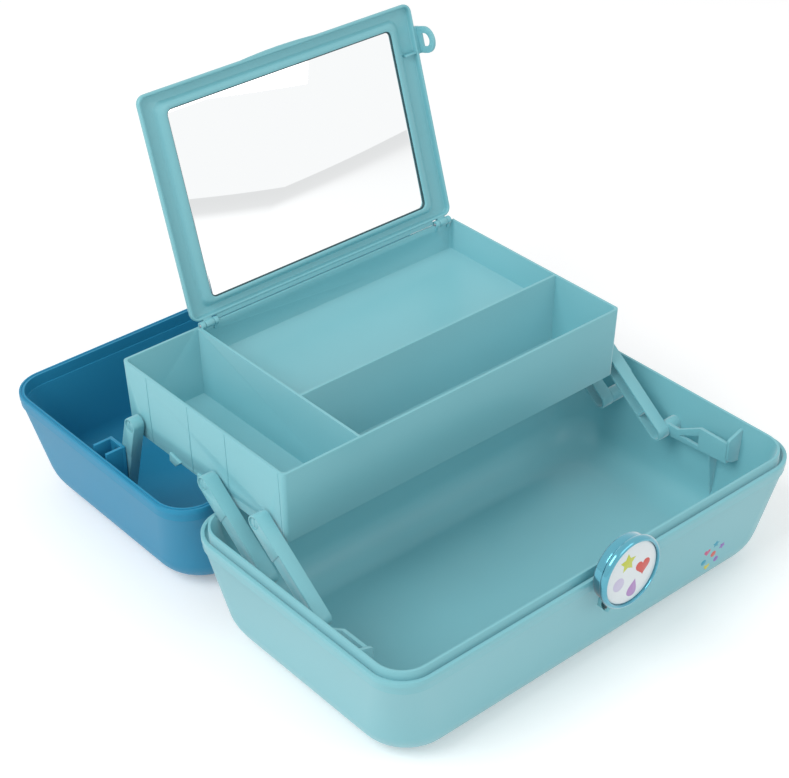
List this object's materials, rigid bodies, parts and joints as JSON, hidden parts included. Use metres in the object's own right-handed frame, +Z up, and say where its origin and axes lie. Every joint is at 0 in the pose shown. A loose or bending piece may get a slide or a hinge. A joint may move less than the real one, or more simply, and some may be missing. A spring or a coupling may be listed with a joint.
{
  "type": "makeup storage case",
  "caption": "Hinged plastic makeup case, open flat, with a swing-up tray on arms, a mirror lid on the tray, a round snap latch and a folding handle.",
  "frame": {"origin": "middle of the base tub's foot, on the surface that it stands on", "axes": "+Z up, +Y from the latch to the hinge, +X to the right seen from the latch"},
  "size_m": [0.33, 0.4057, 0.2771],
  "materials": {
    "case_plastic": "satin, moulded",
    "lid_plastic": "satin, moulded",
    "mirror_glass": "silvered",
    "pin_steel": "bare steel",
    "latch_plastic": "high gloss, metallic",
    "latch_face_plastic": "pearl"
  },
  "bodies": {
    "base": {"base_tub": "case_plastic", "case_hinge_pins": "pin_steel", "base_split_pins": "case_plastic", "latch_pin": "pin_steel"},
    "lid": {"lid_tub": "lid_plastic", "handle_pins": "pin_steel"},
    "handle": {"handle": "case_plastic"},
    "tray": {"tray": "case_plastic", "tray_split_pins": "case_plastic", "mirror_hinge_pins": "pin_steel"},
    "mirror_lid": {"mirror_frame": "case_plastic", "mirror_glass": "mirror_glass"},
    "front_arm_left": {"front_arm_left": "case_plastic"},
    "front_arm_right": {"front_arm_right": "case_plastic"},
    "middle_arm_left": {"middle_arm_left": "case_plastic"},
    "middle_arm_right": {"middle_arm_right": "case_plastic"},
    "lid_arm_left": {"lid_arm_left": "case_plastic", "lid_arm_pin_left": "case_plastic"},
    "lid_arm_right": {"lid_arm_right": "case_plastic", "lid_arm_pin_right": "case_plastic"},
    "latch": {"latch_drum": "latch_plastic", "latch_bezel": "latch_plastic", "latch_face": "latch_face_plastic"}
  },
  "joints": [
    {"name": "lid_hinge", "type": "hinge", "parent": "base", "child": "lid", "pos_m": [0, 0.0999, 0.0762], "axis": [1, 0, 0], "range_deg": [0, 180]},
    {"name": "front_arm_left_pivot", "type": "hinge", "parent": "base", "child": "front_arm_left", "pos_m": [-0.1405, -0.0002, 0.054], "axis": [1, 0, 0], "range_deg": [0, 130.2]},
    {"name": "middle_arm_left_pivot", "type": "hinge", "parent": "base", "child": "middle_arm_left", "pos_m": [-0.1405, 0.0497, 0.054], "axis": [1, 0, 0], "range_deg": [0, 130.2]},
    {"name": "front_arm_right_pivot", "type": "hinge", "parent": "base", "child": "front_arm_right", "pos_m": [0.1405, -0.0002, 0.054], "axis": [1, 0, 0], "range_deg": [0, 130.2]},
    {"name": "middle_arm_right_pivot", "type": "hinge", "parent": "base", "child": "middle_arm_right", "pos_m": [0.1405, 0.0497, 0.054], "axis": [1, 0, 0], "range_deg": [0, 130.2]},
    {"name": "tray_level", "type": "hinge", "parent": "front_arm_left", "child": "tray", "pos_m": [-0.1405, 0.05298, 0.09393], "axis": [1, 0, 0], "range_deg": [-130.2, 0]},
    {"name": "lid_arm_left_pivot", "type": "hinge", "parent": "tray", "child": "lid_arm_left", "pos_m": [-0.1397, 0.18128, 0.09393], "axis": [1, 0, 0], "range_deg": [0, 240.6]},
    {"name": "lid_arm_right_pivot", "type": "hinge", "parent": "tray", "child": "lid_arm_right", "pos_m": [0.1397, 0.18128, 0.09393], "axis": [1, 0, 0], "range_deg": [0, 240.6]},
    {"name": "mirror_hinge", "type": "hinge", "parent": "tray", "child": "mirror_lid", "pos_m": [0, 0.19398, 0.13303], "axis": [1, 0, 0], "range_deg": [0, 107.1]},
    {"name": "latch_hinge", "type": "hinge", "parent": "base", "child": "latch", "pos_m": [0, -0.0985, 0.053], "axis": [1, 0, 0], "range_deg": [0, 35]},
    {"name": "handle_hinge", "type": "hinge", "parent": "lid", "child": "handle", "pos_m": [0, 0.2128, 0.006], "axis": [1, 0, 0], "range_deg": [0, 90]}
  ],
  "couplings": [
    {"joint": "front_arm_left_pivot", "follows": "lid_hinge", "ratio": 0.723},
    {"joint": "middle_arm_left_pivot", "follows": "lid_hinge", "ratio": 0.723},
    {"joint": "front_arm_right_pivot", "follows": "lid_hinge", "ratio": 0.723},
    {"joint": "middle_arm_right_pivot", "follows": "lid_hinge", "ratio": 0.723},
    {"joint": "tray_level", "follows": "lid_hinge", "ratio": -0.723},
    {"joint": "lid_arm_left_pivot", "follows": "lid_hinge", "ratio": 1.336},
    {"joint": "lid_arm_right_pivot", "follows": "lid_hinge", "ratio": 1.336},
    {"joint": "mirror_hinge", "follows": "lid_hinge", "ratio": 0.595}
  ]
}
